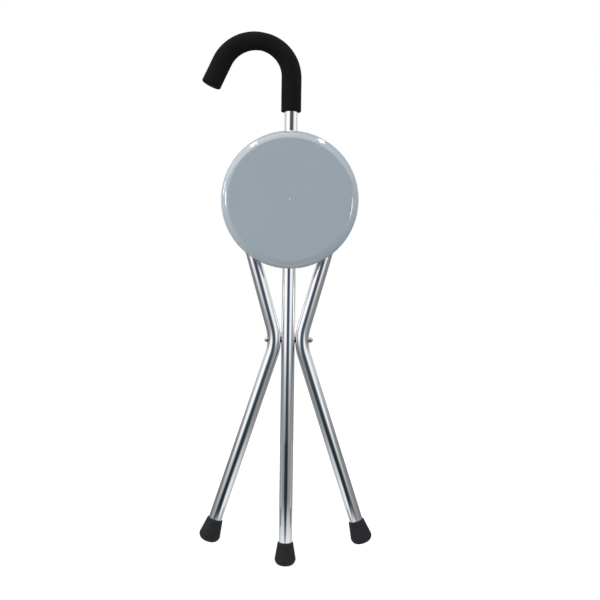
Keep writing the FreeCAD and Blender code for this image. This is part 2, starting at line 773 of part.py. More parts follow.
def build_seat_shell():
    """The moulded seat: a flat top that rolls into a skirt, with ribs and screw bosses below."""
    body = new_body("seat_shell", *seat_frame("0", "seat_centre"))
    radius = "seat_od / 2"
    flat = f"{radius} - seat_edge"
    inner = f"{radius} - seat_wall"
    skin = new_sketch(body, "skin", "XZ")
    trace(skin, [
        ("0", "seat_top"),
        (flat, "seat_top", "seat_edge", "right"),
        (radius, "turn_start"),
        (radius, "rim_back + seat_lip", "seat_lip", "right"),
        (f"{radius} - seat_lip", "rim_back"),
        (inner, "rim_back"),
        (inner, "turn_start", "seat_edge - seat_wall", "left"),
        (flat, "seat_top - seat_wall"),
        ("0", "seat_top - seat_wall"),
    ])
    add_turned(skin)
    rings = new_sketch(body, "rings", "XY", ("0", "0", "rib_face"))
    for ring in ("inner_rib_radius", "outer_rib_radius"):
        add_circle(rings, f"{ring} + rib_thickness / 2")
        add_circle(rings, f"{ring} - rib_thickness / 2")
    add_pad(rings, "rib_depth + seat_wall / 2")
    web = new_sketch(body, "web", "XZ", axis=Vector(0, 1, 0), angle="180 / rib_count")
    in_wall = "seat_edge - seat_wall / 2"
    trace(web, [
        ("inner_rib_radius", "rib_face"),
        (f"{flat} + sqrt(pow({in_wall}; 2) - pow(rib_face - turn_start; 2))", "rib_face", in_wall, "left"),
        (flat, "seat_top - seat_wall / 2"),
        ("inner_rib_radius", "seat_top - seat_wall / 2"),
    ])
    rib = add_pad(web, "rib_thickness", both_ways=True)
    ribs = body.newObject("PartDesign::PolarPattern", "seat_ribs")
    ribs.Originals = [rib]
    ribs.Axis = ([o for o in body.Origin.OriginFeatures if o.Role == "Z_Axis"][0], [""])
    ribs.Angle = 360
    ribs.Occurrences = int(value("rib_count"))
    ribs.setExpression("Occurrences", bound("rib_count"))
    body.Tip = ribs
    sides, hook = boss_places()
    bosses = new_sketch(body, "bosses", "XY", ("0", "0", "rib_face"))
    pilots = new_sketch(body, "pilots", "XY", ("0", "0", "rib_face"))
    for x, along in sides + hook:
        add_circle(bosses, "boss_od / 2", x, f"{along} - seat_centre")
        add_circle(pilots, "screw_d / 2 + press_gap", x, f"{along} - seat_centre")
    add_pad(bosses, "rib_depth + seat_wall / 2")
    add_pocket(pilots, "screw_length - plate + pilot_spare", along_normal=True)
    gate = new_sketch(body, "gate", "XY", ("0", "0", "seat_top"))
    add_circle(gate, "gate_d / 2")
    add_pad(gate, "gate_height")
    rim, out = value("gate_d / 2"), value("seat_top + gate_height")
    round_edges(body, "gate_edge", "gate_height - face_gap",
                lambda edge: is_circle(edge, rim) and abs(edge.CenterOfMass.z - out) < 1e-4)
    return body


def add_channel(body, outline, inner, front, back, low):
    """A channel of steel plate: an outline padded to its full width, less the space between its
    cheeks, which runs past the outline's front, back and low ends."""
    profile = new_sketch(body, "profile", "YZ")
    trace(profile, outline)
    add_pad(profile, f"{inner} + 2 * plate", both_ways=True)
    space = new_sketch(body, "space", "YZ")
    trace(space, [
        (f"{front} - {PAST}", f"{low} - {PAST}"),
        (f"{back} + {PAST}", f"{low} - {PAST}"),
        (f"{back} + {PAST}", "plate_face"),
        (f"{front} - {PAST}", "plate_face"),
    ])
    add_pocket(space, inner)


def add_screw_holes(body, places):
    """Clearance holes through a base plate."""
    holes = new_sketch(body, "screw_holes", "XY", ("0", "0", "rib_face"))
    for x, along in places:
        add_circle(holes, "screw_d / 2 + press_gap", x, along)
    add_pocket(holes)


def build_hinge_bracket(name, side):
    """A steel channel: its base lies on the seat's ribs and its ears take the hinge bolt."""
    body = new_body(name, *seat_frame(f"{side}hinge_x"))
    ear = "tongue_radius"
    far = "bracket_length - tongue_radius"
    add_channel(body, [
        (f"-{ear}", "rib_face"),
        (far, "rib_face"),
        (far, "plate_face"),
        (f"{ear} + bracket_gusset", "plate_face"),
        (ear, "plate_face - bracket_gusset"),
        (ear, "0", ear, "right"),
        ("0", f"-{ear}", ear, "right"),
        (f"-{ear}", "0"),
    ], "tongue_thickness + 2 * side_gap", f"-{ear}", far, f"-{ear}")
    hole = new_sketch(body, "hinge_hole", "YZ")
    add_circle(hole, "hinge_bolt_d / 2 + press_gap")
    add_pocket(hole)
    first = "(tongue_radius + bracket_gusset)"
    add_screw_holes(body, [("0", first), ("0", f"{first} + screw_spacing")])
    return body


def build_seat_hook():
    """The hook channel: two cheeks, one each side of the tube, each with an open notch for the rod.
    The notch runs the way that the rod comes in as the stool opens."""
    body = new_body("seat_hook", *seat_frame())
    low = "rod_level - hook_radius"
    add_channel(body, [
        ("hook_front", "rib_face"),
        ("hook_back", "rib_face"),
        ("hook_back", "rod_level", "hook_radius", "right"),
        ("rod_back", low, "hook_radius", "right"),
        ("rod_back - hook_radius", "rod_level"),
        ("rod_back - 2 * hook_radius", "plate_face"),
        ("hook_front", "plate_face"),
    ], "tube_od + 2 * cheek_gap", "hook_front", "hook_back", low)
    notch = new_sketch(body, "notch", "YZ")
    slot = "(rod_d / 2 + hook_gap)"
    out = "2 * hook_radius"

    def in_notch(along, across):
        """A point given along the rod's way in, from where the rod rests, and across that way."""
        return (f"rod_back + ({along}) * way_back / way_length - ({across}) * way_level / way_length",
                f"rod_level + ({along}) * way_level / way_length + ({across}) * way_back / way_length")

    trace(notch, [
        in_notch(f"-{out}", f"-{slot}"),
        (*in_notch("0", f"-{slot}"), slot, "left"),
        (*in_notch(slot, "0"), slot, "left"),
        in_notch("0", slot),
        in_notch(f"-{out}", slot),
    ])
    add_pocket(notch)
    add_screw_holes(body, boss_places()[1])
    return body


def build_screws(name, places):
    """Round-headed screws through a base plate into the seat's bosses."""
    body = new_body(name, *seat_frame())
    for part, face, radius, length, reverse in (
        ("heads", "plate_face", "screw_head_od / 2", "screw_head_height", True),
        ("shanks", "plate_face", "screw_d / 2", "screw_length", False),
    ):
        circles = new_sketch(body, part, "XY", ("0", "0", face))
        for x, along in places:
            add_circle(circles, radius, x, along)
        add_pad(circles, length, reverse=reverse)
    rim, out = value("screw_head_od / 2"), value("plate_face - screw_head_height")
    round_edges(body, "domes", "screw_dome",
                lambda edge: is_circle(edge, rim) and abs(edge.CenterOfMass.z - out) < 1e-4)
    return body


def build_hinge_bolts():
    """The two hinge bolts, their round heads on the outer sides."""
    body = new_body("hinge_bolts", *seat_frame())
    length = "2 * ear_half + 2 * hinge_washer_thickness + nut_height"
    for side, sign, reverse in (("right", "", False), ("left", "-", True)):
        face = f"{sign}(hinge_x + ear_half + hinge_washer_thickness)"
        shank = new_sketch(body, f"{side}_shank", "YZ", ("0", "0", face))
        add_circle(shank, "hinge_bolt_d / 2")
        add_pad(shank, length, reverse=not reverse)
        head = new_sketch(body, f"{side}_head", "YZ", ("0", "0", face))
        add_circle(head, "hinge_head_od / 2")
        add_pad(head, "hinge_head_height", reverse=reverse)
    rim = value("hinge_head_od / 2")
    out = value("hinge_x + ear_half + hinge_washer_thickness + hinge_head_height")
    round_edges(body, "domes", "hinge_dome",
                lambda edge: is_circle(edge, rim) and abs(abs(edge.CenterOfMass.x) - out) < 1e-4)
    return body


def build_hinge_washers():
    """Washers under the heads and nuts of the hinge bolts."""
    body = new_body("hinge_washers", *seat_frame())
    inner = "hinge_bolt_d / 2 + press_gap"
    add_ring_pair(body, "outer", "hinge_x + ear_half", "hinge_washer_od / 2", inner, "0",
                  "hinge_washer_thickness")
    add_ring_pair(body, "inner", "hinge_x - ear_half - hinge_washer_thickness",
                  "hinge_washer_od / 2", inner, "0", "hinge_washer_thickness")
    return body


def build_hinge_nuts():
    """The nuts on the inner ends of the hinge bolts."""
    body = new_body("hinge_nuts", *seat_frame())
    for side, sign, reverse in (("right", "", True), ("left", "-", False)):
        face = f"{sign}(hinge_x - ear_half - hinge_washer_thickness)"
        add_nut(body, side, face, "hinge_bolt_d / 2 + press_gap", "0", reverse)
    return body


build_cane_tube()
build_foam_grip()
build_handle_plug()
build_ferrule("cane_ferrule")
build_ferrule("right_ferrule", ("foot_x", "0", "foot_z"), LEAN_LEFT, "lower_lean")
build_ferrule("left_ferrule", ("-foot_x", "0", "foot_z"), LEAN_RIGHT, "lower_lean")
build_inserts()
build_pivot_bush()
build_catch_bracket()
build_catch_rod()
build_catch_rivets()
build_leg("right_leg", "0")
build_leg("left_leg", "180")
build_leg_end("right_leg_end", "", LEAN_RIGHT)
build_leg_end("left_leg_end", "-", LEAN_LEFT)
build_leg_end_pins()
build_pivot_bolt()
build_pivot_nut()
build_pivot_spacers()
build_pivot_washers()
build_seat_shell()
build_hinge_bracket("right_hinge_bracket", "")
build_hinge_bracket("left_hinge_bracket", "-")
build_seat_hook()
build_screws("bracket_screws", boss_places()[0])
build_screws("hook_screws", boss_places()[1])
build_hinge_bolts()
build_hinge_washers()
build_hinge_nuts()
doc.recompute()

failed = [o.Name for o in doc.Objects if "Invalid" in o.State or "Error" in o.State]
pieces = [o for o in doc.Objects if o.TypeId in ("PartDesign::Body", "Part::Feature")]
failed += [o.Name for o in pieces if o.Shape.isNull() or not o.Shape.isValid() or not o.Shape.Solids]
if failed:
    raise ValueError(f"these objects failed: {failed}")
for piece in pieces:
    piece.Shape.exportStep(f"parts/{piece.Label}.step")
    print(piece.Label, len(piece.Shape.Solids), round(piece.Shape.Volume))
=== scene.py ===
"""The folded walking stick seat on a plain white floor: its materials, foam grip, light and camera."""
import json
import math

import bmesh
import bpy
from mathutils import Matrix, Quaternion, Vector, noise


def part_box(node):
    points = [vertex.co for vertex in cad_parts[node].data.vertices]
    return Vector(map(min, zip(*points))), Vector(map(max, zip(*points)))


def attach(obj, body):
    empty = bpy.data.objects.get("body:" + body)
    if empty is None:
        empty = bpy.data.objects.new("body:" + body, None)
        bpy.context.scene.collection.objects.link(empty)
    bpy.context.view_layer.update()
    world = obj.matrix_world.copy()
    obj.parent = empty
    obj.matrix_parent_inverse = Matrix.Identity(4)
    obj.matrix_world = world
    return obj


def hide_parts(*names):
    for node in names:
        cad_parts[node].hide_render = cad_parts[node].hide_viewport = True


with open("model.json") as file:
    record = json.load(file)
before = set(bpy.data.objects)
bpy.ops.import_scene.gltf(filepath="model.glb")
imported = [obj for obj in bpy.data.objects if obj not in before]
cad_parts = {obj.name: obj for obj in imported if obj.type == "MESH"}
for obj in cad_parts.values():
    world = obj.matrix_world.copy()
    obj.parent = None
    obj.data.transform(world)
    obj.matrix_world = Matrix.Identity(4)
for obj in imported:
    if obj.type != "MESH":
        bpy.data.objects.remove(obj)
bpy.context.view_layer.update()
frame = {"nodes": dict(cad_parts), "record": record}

MM = 0.001

# The camera, as the photograph's outlines give it
CAMERA_PLACE = Vector((0.0188, -1.5, 0.4358))
CAMERA_LENS = 54.7
CAMERA_ROLL = math.radians(0.77)

# The crook's bend as in the solids, and how thick the foam is over the crown against elsewhere
CROOK_RADIUS = 60 * MM
CROOK_TURN = math.radians(155)
CROWN_SHARE = 29.6 / 33

# The round edges of the foam's tip and mouth, and how its mouth goes in to the tube
TIP_EDGE = 3 * MM
MOUTH_EDGE = 1.5 * MM
MOUTH_CHAMFER = 0.3 * MM
MOUTH_DEPTH = 4 * MM

# How finely the foam's skin is divided
GRIP_STEP = 1.1 * MM
GRIP_SIDES = 72
CORNER_STEPS = 6

# The foam puckers on the inside of the bend, once that has turned a little, and swells all over.
# Its first rings, in and at the mouth, stay plain
PUCKER_DEPTH = 0.10 * MM
PUCKER_SPACING = 3.4 * MM
PUCKER_FADE = 0.25
SWELL_DEPTH = 0.16 * MM
SWELL_SCALE = 60
PLAIN_RINGS = 4

# The pale mark that the mould's gate leaves in the middle of the seat, partly a painted highlight of
# the gate's nub
GATE_RADIUS = 1.5 * MM
GATE_BLUSH_AND_HIGHLIGHT = (0.88, 0.92, 0.96)

# Most of a grain's numbers lie between these two
GRAIN_LOW = 0.3
GRAIN_HIGH = 0.7

# Light on matt surfaces: the world's, and soft lamps with the way to each one and its watts
SOFT_LIGHT = (0.70, 0.71, 0.72)
SOFT_LAMPS = {
    "left_light": (Vector((-0.90, -0.06, 0.43)), 58),
    "right_light": (Vector((0.80, -0.06, 0.60)), 18),
    "front_light": (Vector((0, -1, 0.1)), 12),
    "rear_light": (Vector((0.45, 0.8, 0.4)), 20),
}
LAMP_SIZE = 1.6
LAMP_DISTANCE = 3
LAMP_AIM = Vector((0, 0, 0.55))

# The round white screen that shiny surfaces mirror: how bright it is by height in metres, and how
# that brightness changes and moves up by side in degrees
SCREEN_RADIUS = 1.3
SCREEN_TOP = 1.12
SCREEN_SIDES = 90
SCREEN_BY_HEIGHT = (
    (0.12, (0.32, 0.32, 0.33)),
    (0.24, (0.50, 0.51, 0.52)),
    (0.38, (0.90, 0.92, 0.94)),
    (0.52, (1.00, 1.00, 1.00)),
)
SCREEN_BY_SIDE = (
    (-180, 0.10), (-166, 0.15), (-157, 0.90), (-133, 0.90), (-120, 0.50), (-104, 0.58), (-85, 0.85),
    (-62, 1.08), (-30, 1.10), (30, 1.00), (48, 1.00), (64, 0.88), (80, 0.78), (104, 0.70), (120, 0.50),
    (133, 0.90), (157, 0.90), (166, 0.15), (180, 0.10),
)
SCREEN_RISE = (
    (-120, 0.16), (-100, 0.22), (-80, 0.18), (-62, -0.04), (-45, -0.08), (45, -0.08), (60, 0.08),
    (78, 0.3), (120, 0.2),
)

# The sky that shiny surfaces mirror over the screen: its colour, and how bright it is by height and
# by side, both in degrees
SKY = (0.98, 0.99, 1.0)
SKY_BY_HEIGHT = ((12, 1.2), (22, 2.6), (60, 3.0))
SKY_BY_SIDE = (
    (-150, 0.3), (-100, 0.4), (-76, 1.05), (-20, 1.1), (30, 0.85), (68, 0.7), (92, 0.35), (150, 0.3),
)

# The dark flag before the screen, where the camera would be: its colour, and in degrees its middle
# and half width, by height in metres
FLAG_COLOUR = (
    (0.00, (0.030, 0.052, 0.054)),
    (0.20, (0.045, 0.070, 0.085)),
    (0.34, (0.050, 0.085, 0.108)),
    (0.46, (0.074, 0.080, 0.128)),
    (0.60, (0.064, 0.064, 0.110)),
    (1.00, (0.078, 0.078, 0.090)),
)
FLAG_MIDDLE = ((0.5, -2), (0.8, 0), (0.95, 13), (1.1, 15))
FLAG_HALF_WIDTH = ((0.5, 28), (0.8, 31), (0.95, 34))
FLAG_SOFTNESS = 14

# A faint lamp on the screen: side and width in degrees, foot and head in metres, and strength
SCREEN_LAMP = (84, 30, 0.92, 1.20, 0.25)

# The watts that make a lamp of one square metre as bright as 1
WATTS_PER_AREA = 4

# Three small lamps that only the seat mirrors, given like the screen's lamp
GLINT_LAMPS = ((-86, 7, 0.80, 1.04, 12), (-51, 7, 0.63, 0.81, 24), (33, 8, 0.54, 0.74, 10))
GLINT_RADIUS = 1.25

# Two long lamps overhead that only the seat mirrors: which way each one's middle lies from the seat
STRIP_LAMPS = (Vector((-0.51, -0.14, 0.84)), Vector((0.41, -0.14, 0.90)))
STRIP_DISTANCE = 6
STRIP_WIDTH = 0.47
STRIP_LENGTH = 5.6
STRIP_STRENGTH = 15

# The floor, which sends light up to matt surfaces and is lifted to near white for the camera
FLOOR_CORNERS = ((-3, -2.5), (3, -2.5), (3, 4), (-3, 4))
FLOOR_BOUNCE = (0.5, 0.5, 0.5)
FLOOR_PAINT = (0.25, 0.25, 0.25)
FLOOR_LIFT = 0.9

# The floor that shiny surfaces mirror: a painted pool of light near the stick, and painted shade from
# the flag on its front
FLOOR_COLOUR = (0.28, 0.29, 0.30)
GLOW_COLOUR = (0.84, 0.86, 0.88)
GLOW_START = 0.12
GLOW_END = 0.52
GLOW_BY_SIDE = ((-110, 0.55), (-60, 1), (60, 1), (110, 0.55))
FLOOR_FLAG_SHADE_COLOUR = (0.018, 0.032, 0.034)
FLOOR_FLAG_SHADE_MIDDLE = -5
FLOOR_FLAG_SHADE_HALF_WIDTH = ((0.12, 1), (0.2, 12), (0.4, 24), (0.55, 32))


class Graph:
    """A node tree that is filled by short calls."""

    def __init__(self, tree):
        self.tree = tree
        tree.nodes.clear()

    def add(self, kind, inputs=None, **settings):
        """A node of that kind. Each input is a number, a colour or another node's socket."""
        node = self.tree.nodes.new("ShaderNode" + kind)
        for name, setting in settings.items():
            setattr(node, name, setting)
        for name, given in (inputs or {}).items():
            if isinstance(given, bpy.types.NodeSocket):
                self.tree.links.new(given, node.inputs[name])
            else:
                node.inputs[name].default_value = given
        return node

    def math(self, operation, *values):
        """The result of one sum."""
        return self.add("Math", dict(enumerate(values)), operation=operation).outputs[0]

    def between(self, value, low, high, first=0.0, last=1.0, kind="LINEAR"):
        """The value taken from the stretch low to high onto first to last, and no further."""
        inputs = {"Value": value, "From Min": low, "From Max": high, "To Min": first, "To Max": last}
        return self.add("MapRange", inputs, interpolation_type=kind).outputs[0]

    def graded(self, value, stops):
        """A colour that changes with the value, given as stops of (value, colour)."""
        low, high = stops[0][0], stops[-1][0]
        ramp = self.add("ValToRGB", {"Fac": self.between(value, low, high)})
        elements = ramp.color_ramp.elements
        elements.remove(elements[1])
        for index, (place, colour) in enumerate(stops):
            share = (place - low) / (high - low)
            element = elements.new(share) if index else elements[0]
            element.position = share
            element.color = (*colour, 1)
        return ramp.outputs["Color"]

    def stepped(self, value, stops):
        """A number that changes with the value, given as stops of (value, number)."""
        result = None
        for (low, first), (high, last) in zip(stops, stops[1:]):
            change = self.between(value, low, high, 0, last - first)
            result = self.math("ADD", change, result if result is not None else first)
        return result

    def mixed(self, factor, first, second, blend="MIX"):
        """One colour laid over another by a factor."""
        node = self.add("Mix", data_type="RGBA", blend_type=blend)
        # This node's sockets share their names, so they go by number
        for index, given in ((0, factor), (6, first), (7, second)):
            if isinstance(given, bpy.types.NodeSocket):
                self.tree.links.new(given, node.inputs[index])
            elif index:
                node.inputs[index].default_value = (*given, 1)
            else:
                node.inputs[index].default_value = given
        return node.outputs[2]

    def finish(self, kind, shader):
        """Ends the tree in its output."""
        self.add("Output" + kind, {"Surface": shader})


# Materials


def new_material(name):
    """An empty material and its graph."""
    material = bpy.data.materials.new(name)
    material.use_nodes = True
    return material, Graph(material.node_tree)


def grain(graph, scale, detail, stretch=None):
    """Noise in the object's own metres, as a number from 0 to 1."""
    place = graph.add("TexCoord").outputs["Object"]
    if stretch:
        place = graph.add("Mapping", {"Vector": place, "Scale": stretch}).outputs[0]
    return graph.add("TexNoise", {"Vector": place, "Scale": scale, "Detail": detail}).outputs["Fac"]


def cells(graph, scale):
    """Distance to the middles of small cells, in the object's own metres."""
    place = graph.add("TexCoord").outputs["Object"]
    return graph.add("TexVoronoi", {"Vector": place, "Scale": scale}).outputs["Distance"]


def bump(graph, height, depth, under=None):
    """A relief of that depth in metres, over another one if it is given."""
    inputs = {"Height": height, "Distance": depth, "Strength": 1.0}
    if under is not None:
        inputs["Normal"] = under
    return graph.add("Bump", inputs).outputs[0]


def tint(graph, value, dark, light, low=GRAIN_LOW, high=GRAIN_HIGH):
    """A colour between dark and light, by a number."""
    return graph.graded(value, ((low, dark), (high, light)))


def spread(graph, value, first, last):
    """A grain's usual stretch taken onto first to last."""
    return graph.between(value, GRAIN_LOW, GRAIN_HIGH, first, last)


def surface(graph, **inputs):
    """Ends the graph in one principled surface."""
    named = {name.replace("_", " "): given for name, given in inputs.items()}
    shader = graph.add("BsdfPrincipled", named)
    graph.finish("Material", shader.outputs[0])


def chromed_tube():
    """Bright chrome: a little waviness from the drawn tube, and fine specks that dull it."""
    material, graph = new_material("chromed_tube")
    waves = grain(graph, scale=22, detail=1)
    lines = grain(graph, scale=60, detail=3, stretch=(14, 14, 0.6))
    specks = cells(graph, scale=420)
    dull = graph.between(specks, 0.02, 0.10, 0.10, 0.0)
    roughness = graph.math("ADD", spread(graph, lines, 0.045, 0.085), dull)
    relief = bump(graph, lines, 0.0008 * MM, under=bump(graph, waves, 0.05 * MM))
    surface(
        graph,
        Base_Color=tint(graph, waves, (0.89, 0.90, 0.92), (0.94, 0.945, 0.955)),
        Metallic=1.0,
        Roughness=roughness,
        Normal=relief,
    )
    return material


def black_foam():
    """Closed foam: small soft cells with painted shade in their middles, matt, and a little uneven in
    its black.
    """
    material, graph = new_material("black_foam")
    blotches = grain(graph, scale=45, detail=3)
    pores = cells(graph, scale=1100)
    fuzz = grain(graph, scale=2600, detail=2)
    relief = bump(graph, fuzz, 0.05 * MM, under=bump(graph, pores, 0.12 * MM))
    # The pores' middles are darkened: painted shade in the pores, over the foam's uneven black
    tone_and_pore_shade = graph.mixed(
        graph.between(pores, 0.1, 0.5, 1, 0),
        tint(graph, blotches, (0.0058, 0.0060, 0.0066), (0.0080, 0.0082, 0.0090)),
        (0.6, 0.6, 0.6),
        "MULTIPLY",
    )
    surface(
        graph,
        Base_Color=tone_and_pore_shade,
        Roughness=0.85,
        Specular_IOR_Level=0.08,
        Normal=relief,
    )
    return material


def black_rubber():
    """Moulded rubber with a soft sheen and a faint bloom."""
    material, graph = new_material("black_rubber")
    bloom = grain(graph, scale=90, detail=4)
    fine = grain(graph, scale=1800, detail=2)
    relief = bump(graph, fine, 0.02 * MM, under=bump(graph, bloom, 0.08 * MM))
    surface(
        graph,
        Base_Color=tint(graph, bloom, (0.017, 0.017, 0.0195), (0.023, 0.023, 0.026)),
        Roughness=spread(graph, bloom, 0.5, 0.6),
        Specular_IOR_Level=0.14,
        Normal=relief,
    )
    return material


def seat_plastic():
    """Glossy moulded plastic: an even blue grey with a very fine skin."""
    material, graph = new_material("seat_plastic")
    cloud = grain(graph, scale=14, detail=2)
    skin = grain(graph, scale=2200, detail=2)
    flow = grain(graph, scale=160, detail=1)
    relief = bump(graph, skin, 0.0006 * MM, under=bump(graph, flow, 0.01 * MM))
    low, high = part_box("seat_shell")
    gate = Vector(((low.x + high.x) / 2, low.y, (low.z + high.z) / 2))
    place = graph.add("TexCoord").outputs["Object"]
    off_gate = graph.add("VectorMath", {0: place, 1: gate}, operation="DISTANCE").outputs["Value"]
    # The gate's pale mark in the base colour, its brightness partly a painted highlight
    blush_and_highlight = graph.between(off_gate, GATE_RADIUS / 2, GATE_RADIUS, 1, 0, "SMOOTHSTEP")
    even = tint(graph, cloud, (0.376, 0.429, 0.473), (0.381, 0.435, 0.480))
    surface(
        graph,
        Base_Color=graph.mixed(blush_and_highlight, even, GATE_BLUSH_AND_HIGHLIGHT),
        Roughness=spread(graph, cloud, 0.10, 0.12),
        Specular_IOR_Level=0.7,
        Normal=relief,
    )
    return material


def nylon():
    """Black moulded nylon, satin and faintly grained."""
    material, graph = new_material("nylon")
    cloud = grain(graph, scale=120, detail=3)
    fine = grain(graph, scale=1600, detail=2)
    surface(
        graph,
        Base_Color=tint(graph, cloud, (0.016, 0.016, 0.017), (0.026, 0.026, 0.028)),
        Roughness=spread(graph, cloud, 0.38, 0.48),
        Normal=bump(graph, fine, 0.02 * MM),
    )
    return material


def zinc_plated_steel():
    """Zinc plating: a grey metal with a faint crystal bloom."""
    material, graph = new_material("zinc_plated_steel")
    bloom = cells(graph, scale=700)
    cloud = grain(graph, scale=200, detail=3)
    surface(
        graph,
        Base_Color=tint(graph, bloom, (0.40, 0.41, 0.42), (0.54, 0.55, 0.56), low=0.1, high=0.7),
        Metallic=1.0,
        Roughness=spread(graph, cloud, 0.26, 0.40),
        Normal=bump(graph, cloud, 0.01 * MM),
    )
    return material


def bracket_steel():
    """Black baked paint on pressed steel: a faint orange peel."""
    material, graph = new_material("bracket_steel")
    peel = grain(graph, scale=900, detail=1)
    cloud = grain(graph, scale=60, detail=3)
    surface(
        graph,
        Base_Color=tint(graph, cloud, (0.018, 0.018, 0.020), (0.028, 0.028, 0.031)),
        Roughness=spread(graph, cloud, 0.30, 0.38),
        Coat_Weight=0.3,
        Coat_Roughness=0.2,
        Normal=bump(graph, peel, 0.03 * MM),
    )
    return material


# Meshes


def join_rings(mesh, one, other):
    """Faces between two rings of as many points."""
    for index in range(len(one)):
        following = (index + 1) % len(one)
        mesh.faces.new((one[index], one[following], other[following], other[index]))


def made(mesh, name):
    """A new object in the scene, out of a finished mesh."""
    data = bpy.data.meshes.new(name)
    mesh.to_mesh(data)
    mesh.free()
    built = bpy.data.objects.new(name, data)
    bpy.context.scene.collection.objects.link(built)
    return built


def staged(mesh, name):
    """An object of the studio, which isn't part of the object."""
    built = made(mesh, name)
    return built


# The foam grip


def grip_path():
    """The crook's middle line from the sleeve's mouth to its tip, and how long its three parts are."""
    tube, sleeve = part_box("cane_tube"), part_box("foam_grip")
    start = tube[1].z - tube[1].x - CROOK_RADIUS
    straight = start - sleeve[0].z
    bend = CROOK_RADIUS * CROOK_TURN
    across = -CROOK_RADIUS * (1 - math.cos(CROOK_TURN))
    aside = (sleeve[1].x - TIP_EDGE) * abs(math.cos(CROOK_TURN)) + TIP_EDGE
    tail = (across - sleeve[0].x - aside) / math.sin(CROOK_TURN) + TIP_EDGE

    def at(length):
        """Where the line is after that length, and how far it has turned."""
        if length <= straight:
            return Vector((0, 0, sleeve[0].z + length)), 0.0
        if length <= straight + bend:
            turned = (length - straight) / CROOK_RADIUS
            out = CROOK_RADIUS * (1 - math.cos(turned))
            return Vector((-out, 0, start + CROOK_RADIUS * math.sin(turned))), turned
        beyond = length - straight - bend
        end, _ = at(straight + bend)
        return end + beyond * Vector((-math.sin(CROOK_TURN), 0, math.cos(CROOK_TURN))), CROOK_TURN

    return at, straight, bend, tail


def grip_rings(straight, bend, tail):
    """The sleeve's rings from inside its mouth to its tip: how far along each lies, and its radius."""
    tube_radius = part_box("cane_tube")[1].x
    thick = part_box("foam_grip")[1].x
    thin = thick * CROWN_SHARE
    total = straight + bend + tail

    def girth(length):
        """The sleeve's radius, which shrinks towards the crown."""
        share = 1 - abs(2 * (length - straight) / bend - 1)
        return thick + (thin - thick) * max(0.0, share)

    rings = [(MOUTH_DEPTH, tube_radius), (MOUTH_CHAMFER, tube_radius)]
    rings.append((0.0, tube_radius + MOUTH_CHAMFER))
    for index in range(CORNER_STEPS + 1):
        turned = math.pi / 2 * index / CORNER_STEPS
        inwards = MOUTH_EDGE * (1 - math.sin(turned))
        rings.append((MOUTH_EDGE * (1 - math.cos(turned)), thick - inwards))
    side = total - MOUTH_EDGE - TIP_EDGE
    count = int(side / GRIP_STEP)
    for index in range(1, count + 1):
        length = MOUTH_EDGE + side * index / count
        rings.append((length, girth(length)))
    for index in range(1, CORNER_STEPS + 1):
        turned = math.pi / 2 * index / CORNER_STEPS
        inwards = TIP_EDGE * (1 - math.cos(turned))
        rings.append((total - TIP_EDGE * (1 - math.sin(turned)), thick - inwards))
    for share in (0.6, 0.3):
        rings.append((total, (thick - TIP_EDGE) * share))
    return rings


def unevenness(point, angle, length, turned):
    """How far the foam's skin stands out at a point, by its angle round the sleeve."""
    inner = max(0.0, -math.cos(angle)) * min(1.0, turned / PUCKER_FADE) * (turned < CROOK_TURN)
    pucker = PUCKER_DEPTH * inner * math.sin(length / PUCKER_SPACING * 2 * math.pi)
    swell = SWELL_DEPTH * noise.noise(point * SWELL_SCALE)
    return pucker + swell


def build_grip():
    """The foam sleeve as a soft mesh: it thins over the crown and puckers a little on the inside."""
    at, straight, bend, tail = grip_path()
    mesh = bmesh.new()
    rings = []
    for index, (length, radius) in enumerate(grip_rings(straight, bend, tail)):
        place, turned = at(length)
        side = Vector((math.cos(turned), 0, math.sin(turned)))
        ring = []
        for step in range(GRIP_SIDES):
            angle = 2 * math.pi * step / GRIP_SIDES
            out = side * math.cos(angle) + Vector((0, 1, 0)) * math.sin(angle)
            point = place + out * radius
            if index >= PLAIN_RINGS:
                point += out * unevenness(point, angle, length, turned)
            ring.append(mesh.verts.new(point))
        rings.append(ring)
    for one, other in zip(rings, rings[1:]):
        join_rings(mesh, one, other)
    end, _ = at(straight + bend + tail)
    middle = mesh.verts.new(end)
    for index in range(GRIP_SIDES):
        mesh.faces.new((rings[-1][index], rings[-1][(index + 1) % GRIP_SIDES], middle))
    bmesh.ops.recalc_face_normals(mesh, faces=mesh.faces)
    for face in mesh.faces:
        face.smooth = True
    return made(mesh, "grip_sleeve")


# Studio


def compass(graph, across, along):
    """The side, in degrees to the right of the front."""
    return graph.math("DEGREES", graph.math("ARCTAN2", across, graph.math("MULTIPLY", along, -1)))


def within(graph, value, middle, half_width, softness):
    """1 inside the half width round the middle and 0 outside it, with an edge of that softness."""
    off_middle = graph.math("ABSOLUTE", graph.math("SUBTRACT", value, middle))
    past_edge = graph.math("SUBTRACT", off_middle, half_width)
    return graph.between(past_edge, -softness, softness, 1, 0, "SMOOTHSTEP")


def scaled(graph, colour, strength):
    """A colour made that much stronger."""
    return graph.add("VectorMath", {0: colour, "Scale": strength}, operation="SCALE").outputs[0]


def seen_straight(graph, path):
    """1 for rays that come from the camera, also through clear things, and 0 for all others."""
    return graph.math("MAXIMUM", path["Is Camera Ray"], path["Is Transmission Ray"])


